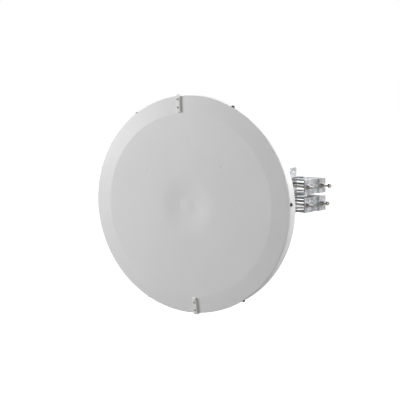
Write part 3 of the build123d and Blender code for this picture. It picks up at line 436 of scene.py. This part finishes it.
PIP_R = 3.8 * MM
PIP_HEIGHT = 0.9 * MM
PIP_ROOT = 0.3 * MM         # how far a mark reaches into the face
PIP_SHOULDER_R = PIP_R * 0.92
PIP_SHOULDER = PIP_HEIGHT * 0.7
PIP_TOP_R = PIP_R * 0.75
PIP_STEPS = 24
PIPS = ((168.0 * MM, 2.0), (172.0 * MM, 47.0), (184.0 * MM, 143.0))    # radius and angle on the face


def build_pips():
    """Small moulding marks that stand a little proud of the face."""
    profile = [(0.0, PIP_ROOT), (PIP_R, PIP_ROOT), (PIP_SHOULDER_R, -PIP_SHOULDER),
               (PIP_TOP_R, -PIP_HEIGHT), (0.0, -PIP_HEIGHT)]

    def fill(work):
        for radius, angle in PIPS:
            turn = math.radians(angle)
            place = Vector((math.cos(turn), 0, math.sin(turn))) * radius + DISH_AXIS * FLAT_Y
            lathe(work, profile, DISH_ORIGIN + place, DISH_AXIS, DISH_OUT, PIP_STEPS)

    add_piece("face_pips", mesh_from("face_pips", fill), "antenna", "radome_plastic")


build_pips()

REFLECTOR_LOW, REFLECTOR_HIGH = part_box("reflector")
HUB_FRONT_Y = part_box("hub")[0].y
BOWL_R = 326.0 * MM
BOWL_WALL = 2.0 * MM
SEAT_R = 62.0 * MM
FEED_HOLE_R = 13.0 * MM
RIM_DEPTH = 22.0 * MM
RIM_ROUND = 1.2 * MM
BOWL_RINGS = 32
BOWL_STEPS = 192


def reflector_profile():
    """A parabola from the flat hub seat to the rolled rim."""
    rim_y = REFLECTOR_LOW.y
    rim_back_y = rim_y + RIM_DEPTH
    flange_r = (REFLECTOR_HIGH.x - REFLECTOR_LOW.x) / 2
    round_r = flange_r - RIM_ROUND
    seat_y = HUB_FRONT_Y - BOWL_WALL
    curve = (seat_y - rim_y) / (BOWL_R**2 - SEAT_R**2)
    inside = [(FEED_HOLE_R, seat_y)]
    for k in range(BOWL_RINGS + 1):
        radius = SEAT_R + (BOWL_R - SEAT_R) * k / BOWL_RINGS
        inside.append((radius, seat_y - curve * (radius**2 - SEAT_R**2)))
    rim = [(round_r, rim_y)] + arc((round_r, rim_y + RIM_ROUND), RIM_ROUND, start=-60, stop=0, count=3)
    rim += [(flange_r, rim_back_y), (flange_r - BOWL_WALL, rim_back_y)]
    rim += [(flange_r - BOWL_WALL, rim_y + BOWL_WALL)]
    outside = [(radius, y + BOWL_WALL) for radius, y in reversed(inside)]
    return inside + rim + outside


def build_reflector():
    mesh = mesh_from("reflector_bowl", lambda work: lathe(
        work, reflector_profile(), DISH_ORIGIN, DISH_AXIS, DISH_OUT, BOWL_STEPS))
    add_piece("reflector_bowl", mesh, "antenna", "painted_aluminium", ["reflector"])


build_reflector()


# ------------------------------------------------------------------ plate and cast parts with broken edges
SAME_POINT = 1e-6
FLAT_ANGLE = math.radians(0.5)      # faces closer in angle than this become one
EDGE_ANGLE = math.radians(40)       # edges sharper than this are rounded


def softened(node_name, width, segments):
    """A copy of a CAD part with its sharp edges rounded, which replaces the part."""
    source = NODES[node_name]

    def fill(work):
        work.from_mesh(source.data)
        bmesh.ops.remove_doubles(work, verts=work.verts, dist=SAME_POINT)
        bmesh.ops.dissolve_limit(work, angle_limit=FLAT_ANGLE, verts=work.verts, edges=work.edges)

    piece = add_piece(node_name + "_formed", mesh_from(node_name + "_formed", fill),
                      BODY_OF[node_name], SLOT_OF[node_name], [node_name])
    rounding = piece.modifiers.new("rounding", "BEVEL")
    rounding.width = width
    rounding.segments = segments
    rounding.limit_method = "ANGLE"
    rounding.angle_limit = EDGE_ANGLE
    rounding.use_clamp_overlap = True
    rounding.harden_normals = True


PLATES = ["pole_bracket", "azimuth_bracket", "dish_bracket", "inner_jaw_upper", "inner_jaw_lower",
          "outer_jaw_upper", "outer_jaw_lower"]
CASTINGS = ["radio_base", "radio_cover", "hub", "radio_adapter"]
CLIPS = ["radome_clip_top", "radome_clip_bottom"]
LATCHES = ["latch_top", "latch_bottom", "latch_left", "latch_right"]
FASTENERS = ["rim_screws", "hub_bolts", "adapter_bolts", "azimuth_pivot_bolt", "azimuth_lock_bolts",
             "azimuth_nuts", "elevation_pivot_bolt", "elevation_lock_bolts", "elevation_nuts",
             "clamp_end_nuts", "upper_jaw_nuts", "lower_jaw_nuts", "gland_body", "gland_nut",
             "vent_plug", "ground_stud"]
ROUNDINGS = (                       # parts, width of the rounding, segments across it
    (PLATES, 1.2 * MM, 2),
    (CASTINGS, 0.8 * MM, 2),
    (CLIPS, 1.8 * MM, 3),
    (LATCHES, 0.4 * MM, 2),
    (FASTENERS, 0.5 * MM, 2),
)
for rounded_nodes, rounding_width, rounding_segments in ROUNDINGS:
    for rounded_node in rounded_nodes:
        softened(rounded_node, rounding_width, rounding_segments)


# ------------------------------------------------------------------ threaded bolts and screws
PITCH = 1.25 * MM
THREAD_DEPTH = 0.62 * MM
THREAD_ROWS = 6                # rings of points in each turn of the thread
THREAD_STEPS = 20
THREAD_TAPER = 1.0 * MM        # length of the taper at each end of a thread
HEX_CORNER = 1 / math.sqrt(3)  # a hexagon's corner radius over its width across flats
HEX_STRAIGHT = 0.82            # share of a head's height below its chamfer
HEX_TOP = 0.88                 # the chamfer's inner radius over the corner radius
ROD_STEPS = 24


def thread_row(work, centre, height, taper, out, side, radius):
    """One ring of a thread; its groove moves round the rod with the height."""
    row = []
    for k in range(THREAD_STEPS):
        turn = k / THREAD_STEPS
        groove = THREAD_DEPTH * abs(2 * ((height / PITCH - turn) % 1.0) - 1)
        away = out * math.cos(2 * math.pi * turn) + side * math.sin(2 * math.pi * turn)
        row.append(work.verts.new(centre + away * min(radius - groove, radius - taper)))
    return row


def threaded_rod(work, start, axis, radius, length):
    """A rod with a helical thread and tapered ends."""
    out = axis.orthogonal().normalized()
    side = axis.cross(out)
    count = round(length / PITCH * THREAD_ROWS)
    rows = []
    for i in range(count + 1):
        height = length * i / count
        taper = max(0.0, THREAD_TAPER - min(height, length - height))
        rows.append(thread_row(work, start + axis * height, height, taper, out, side, radius))
    for first, second in zip(rows, rows[1:]):
        for k in range(THREAD_STEPS):
            n = (k + 1) % THREAD_STEPS
            work.faces.new((first[k], first[n], second[n], second[k]))
    work.faces.new(rows[0])
    work.faces.new(rows[-1])


def hexagon(work, start, axis, flats, height):
    """A hexagonal head whose far end is chamfered."""
    corner = flats * HEX_CORNER
    profile = [(0.0, 0.0), (corner, 0.0), (corner, height * HEX_STRAIGHT), (corner * HEX_TOP, height),
               (0.0, height)]
    lathe(work, profile, start, axis, axis.orthogonal().normalized(), steps=6)


def plain_rod(work, start, axis, radius, length):
    profile = [(0.0, 0.0), (radius, 0.0), (radius, length), (0.0, length)]
    lathe(work, profile, start, axis, axis.orthogonal().normalized(), ROD_STEPS)


def reach_of(points, axis):
    """The least and the greatest distance of some points along an axis."""
    along = [point.dot(axis) for point in points]
    return min(along), max(along)


BOLT_R = 4.0 * MM
BOLT_HEAD = 5.3 * MM
BOLT_FLATS = 13.0 * MM
BOLT_THREAD = 78.0 * MM        # threaded length at the far end of each clamp bolt
CLAMP_OUT = Vector(JOINTS["upper_jaw_slide"]["axis"]).normalized()
CLAMP_ACROSS = UP.cross(CLAMP_OUT)


def clamp_bolt(work, points):
    """A headed bolt along CLAMP_OUT, as long as the CAD's bolt that the points belong to."""
    near, far = reach_of(points, CLAMP_OUT)
    centre = CLAMP_ACROSS * sum(reach_of(points, CLAMP_ACROSS)) / 2
    centre.z = sum(reach_of(points, UP)) / 2
    seat = centre + CLAMP_OUT * (near + BOLT_HEAD)
    plain = far - near - BOLT_HEAD - BOLT_THREAD
    hexagon(work, seat, -CLAMP_OUT, BOLT_FLATS, BOLT_HEAD)
    plain_rod(work, seat, CLAMP_OUT, BOLT_R, plain)
    threaded_rod(work, seat + CLAMP_OUT * plain, CLAMP_OUT, BOLT_R, BOLT_THREAD)


def build_clamp_bolts():
    """Four bolts, one for each corner of the clamp."""
    points = [vertex.co.copy() for vertex in NODES["clamp_bolts"].data.vertices]

    def fill(work):
        for across in (1, -1):
            for up in (1, -1):
                clamp_bolt(work, [p for p in points if p.dot(CLAMP_ACROSS) * across > 0 and p.z * up > 0])

    add_piece("clamp_bolts_threaded", mesh_from("clamp_bolts_threaded", fill), BODY_OF["clamp_bolts"],
              SLOT_OF["clamp_bolts"], ["clamp_bolts"])


build_clamp_bolts()

SCREW_TIP = 3.0 * MM
SCREW_TIP_R = BOLT_R * 0.84
TIP_TURNS = (0.4, 0.8, 1.2, math.pi / 2)    # angles of the round tip's rings, from its axis
SCREW_HEAD = 4.0 * MM


def build_adjuster(node_name, inward, headed):
    """An adjusting screw with a round tip; inward points from its outer end to that tip."""
    low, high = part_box(node_name)
    middle = (low + high) / 2
    near, far = reach_of((low, high), inward)
    length = far - near
    tip = middle + inward * (far - middle.dot(inward))
    head = SCREW_HEAD if headed else 0.0

    def fill(work):
        threaded_rod(work, tip - inward * SCREW_TIP, -inward, BOLT_R, length - SCREW_TIP - head)
        ball = [(0.0, 0.0)]
        ball += [(SCREW_TIP_R * math.sin(turn), SCREW_TIP * (1 - math.cos(turn))) for turn in TIP_TURNS]
        ball.append((0.0, SCREW_TIP * 1.2))
        lathe(work, ball, tip, -inward, inward.orthogonal().normalized(), ROD_STEPS)
        if headed:
            hexagon(work, tip - inward * (length - head), -inward, BOLT_FLATS, head)

    add_piece(node_name + "_threaded", mesh_from(node_name + "_threaded", fill), BODY_OF[node_name],
              SLOT_OF[node_name], [node_name])


for node_name, inward, headed in (
        ("azimuth_screw_left", Vector((1, 0, 0)), False),
        ("azimuth_screw_right", Vector((-1, 0, 0)), False),
        ("elevation_screw_upper", -UP, True),
        ("elevation_screw_lower", UP, True)):
    build_adjuster(node_name, inward, headed)


# ------------------------------------------------------------------ weld beads
BEAD_R = 2.6 * MM
BEAD_RIPPLE = 0.35 * MM
BEAD_STEP = 2.4 * MM           # length of one ripple
BEAD_RINGS = 4                 # rings of points in each ripple
BEAD_SIDES = 14


def weld_bead(work, start, end):
    """A rippled bead laid along a corner between two plates."""
    length = (end - start).length
    axis = (end - start) / length
    count = round(length / BEAD_STEP) * BEAD_RINGS
    profile = [(0.0, 0.0)]
    for k in range(count + 1):
        end_round = min(1.0, (k + 1) / BEAD_RINGS, (count + 1 - k) / BEAD_RINGS)
        radius = BEAD_R + BEAD_RIPPLE * math.sin(2 * math.pi * k / BEAD_RINGS)
        profile.append((radius * end_round, length * k / count))
    profile.append((0.0, length))
    lathe(work, profile, start, axis, axis.orthogonal().normalized(), BEAD_SIDES)


AZIMUTH_LOW, AZIMUTH_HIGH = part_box("azimuth_bracket")
AZIMUTH_WEB_X = AZIMUTH_LOW.x + 17.0 * MM       # the web's face towards the pivot
AZIMUTH_FLANGE_T = 5.0 * MM
WELD_INSET = 6.0 * MM                           # from the web's front edge to the bead
WELD_LENGTH = 66.0 * MM


def build_welds():
    """Beads inside the corners where the azimuth bracket's flanges meet its web."""
    front_y = AZIMUTH_LOW.y + WELD_INSET
    back_y = front_y + WELD_LENGTH
    top_z = AZIMUTH_HIGH.z - 2 * AZIMUTH_FLANGE_T
    bottom_z = AZIMUTH_LOW.z + AZIMUTH_FLANGE_T

    def fill(work):
        for z in (top_z, bottom_z):
            weld_bead(work, Vector((AZIMUTH_WEB_X, front_y, z)), Vector((AZIMUTH_WEB_X, back_y, z)))

    add_piece("azimuth_bracket_welds", mesh_from("azimuth_bracket_welds", fill), "azimuth_head",
              "galvanised_steel")


build_welds()


# ------------------------------------------------------------------ stage and light
FLOOR_DROP = 0.15
FLOOR_R = 40.0
FLOOR_GREY = (0.32, 0.32, 0.32)
FLOOR_GLOW = 0.85           # seen by the camera only, so that the floor melts into the backdrop


def make_floor():
    floor_z = CAD_BOX[0].z - FLOOR_DROP
    mesh = mesh_from("floor", lambda work: bmesh.ops.create_circle(
        work, cap_ends=True, segments=96, radius=FLOOR_R, matrix=Matrix.Translation((AXIS_X, 0, floor_z))))
    floor = bpy.data.objects.new("floor", mesh)
    bpy.context.scene.collection.objects.link(floor)
    material, tree, shader = new_material("pale_floor", FLOOR_GREY, 0.8)
    mottled(tree, shader, object_coordinates(tree), FLOOR_GREY, amount=0.01, scale=2.0)
    shader.inputs["Emission Color"].default_value = (1.0, 1.0, 1.0, 1.0)
    rays = tree.nodes.new("ShaderNodeLightPath")
    seen = tree.nodes.new("ShaderNodeMath")
    seen.operation = "MULTIPLY"
    seen.inputs[1].default_value = FLOOR_GLOW
    tree.links.new(rays.outputs["Is Camera Ray"], seen.inputs[0])
    tree.links.new(seen.outputs["Value"], shader.inputs["Emission Strength"])
    floor.data.materials.append(material)


KEY_TOWARD = Vector((-0.8, -0.52, 0.25)).normalized()
KEY_DISTANCE = 5.0
KEY_SIZE = 2.4
KEY_POWER = 210.0
LOBES = (                   # direction, cosines of its outer and inner edge, brightness
    ((0.7, 0.8, 0.5), 0.35, 0.75, 2.3),         # backdrop, behind and to the right
    ((0.6, -0.8, -0.05), 0.94, 0.985, 2.6),     # a panel beside the camera
)
WORLD_BASE = 0.06           # the studio's brightness outside the lobes


def make_key():
    """A large soft box on the left, near enough that its light falls off across the face."""
    data = bpy.data.lights.new("key", "AREA")
    data.shape = "DISK"
    data.size = KEY_SIZE
    data.energy = KEY_POWER
    lamp = bpy.data.objects.new("key", data)
    bpy.context.scene.collection.objects.link(lamp)
    target = Vector((AXIS_X, FLAT_Y, AXIS_Z))
    turn = KEY_TOWARD.to_track_quat("Z", "Y").to_matrix().to_4x4()
    lamp.matrix_world = Matrix.Translation(target + KEY_TOWARD * KEY_DISTANCE) @ turn


def light_lobe(tree, direction, toward, edge, full, power):
    """The brightness of one soft patch of the studio, round the direction toward."""
    dot = tree.nodes.new("ShaderNodeVectorMath")
    dot.operation = "DOT_PRODUCT"
    dot.inputs[1].default_value = Vector(toward).normalized()
    tree.links.new(direction, dot.inputs[0])
    lobe = tree.nodes.new("ShaderNodeMapRange")
    lobe.interpolation_type = "SMOOTHSTEP"
    lobe.inputs["From Min"].default_value = edge
    lobe.inputs["From Max"].default_value = full
    lobe.inputs["To Max"].default_value = power
    tree.links.new(dot.outputs["Value"], lobe.inputs["Value"])
    return lobe.outputs["Result"]


def make_world():
    """A studio lit from behind and from beside the camera; the camera itself sees plain white."""
    world = bpy.data.worlds.new("studio")
    bpy.context.scene.world = world
    world.use_nodes = True
    tree = world.node_tree
    direction = tree.nodes.new("ShaderNodeTexCoord").outputs["Generated"]
    total = None
    for lobe in LOBES:
        add = tree.nodes.new("ShaderNodeMath")
        tree.links.new(light_lobe(tree, direction, *lobe), add.inputs[0])
        if total is None:
            add.inputs[1].default_value = WORLD_BASE
        else:
            tree.links.new(total, add.inputs[1])
        total = add.outputs["Value"]
    seen = tree.nodes.new("ShaderNodeMix")
    seen.inputs["B"].default_value = 1.0
    rays = tree.nodes.new("ShaderNodeLightPath")
    tree.links.new(rays.outputs["Is Camera Ray"], seen.inputs["Factor"])
    tree.links.new(total, seen.inputs["A"])
    background = tree.nodes["Background"]
    tree.links.new(seen.outputs["Result"], background.inputs["Strength"])
    background.inputs["Color"].default_value = (1.0, 1.0, 1.0, 1.0)


make_floor()
make_key()
make_world()
bpy.context.scene.view_settings.view_transform = "Standard"
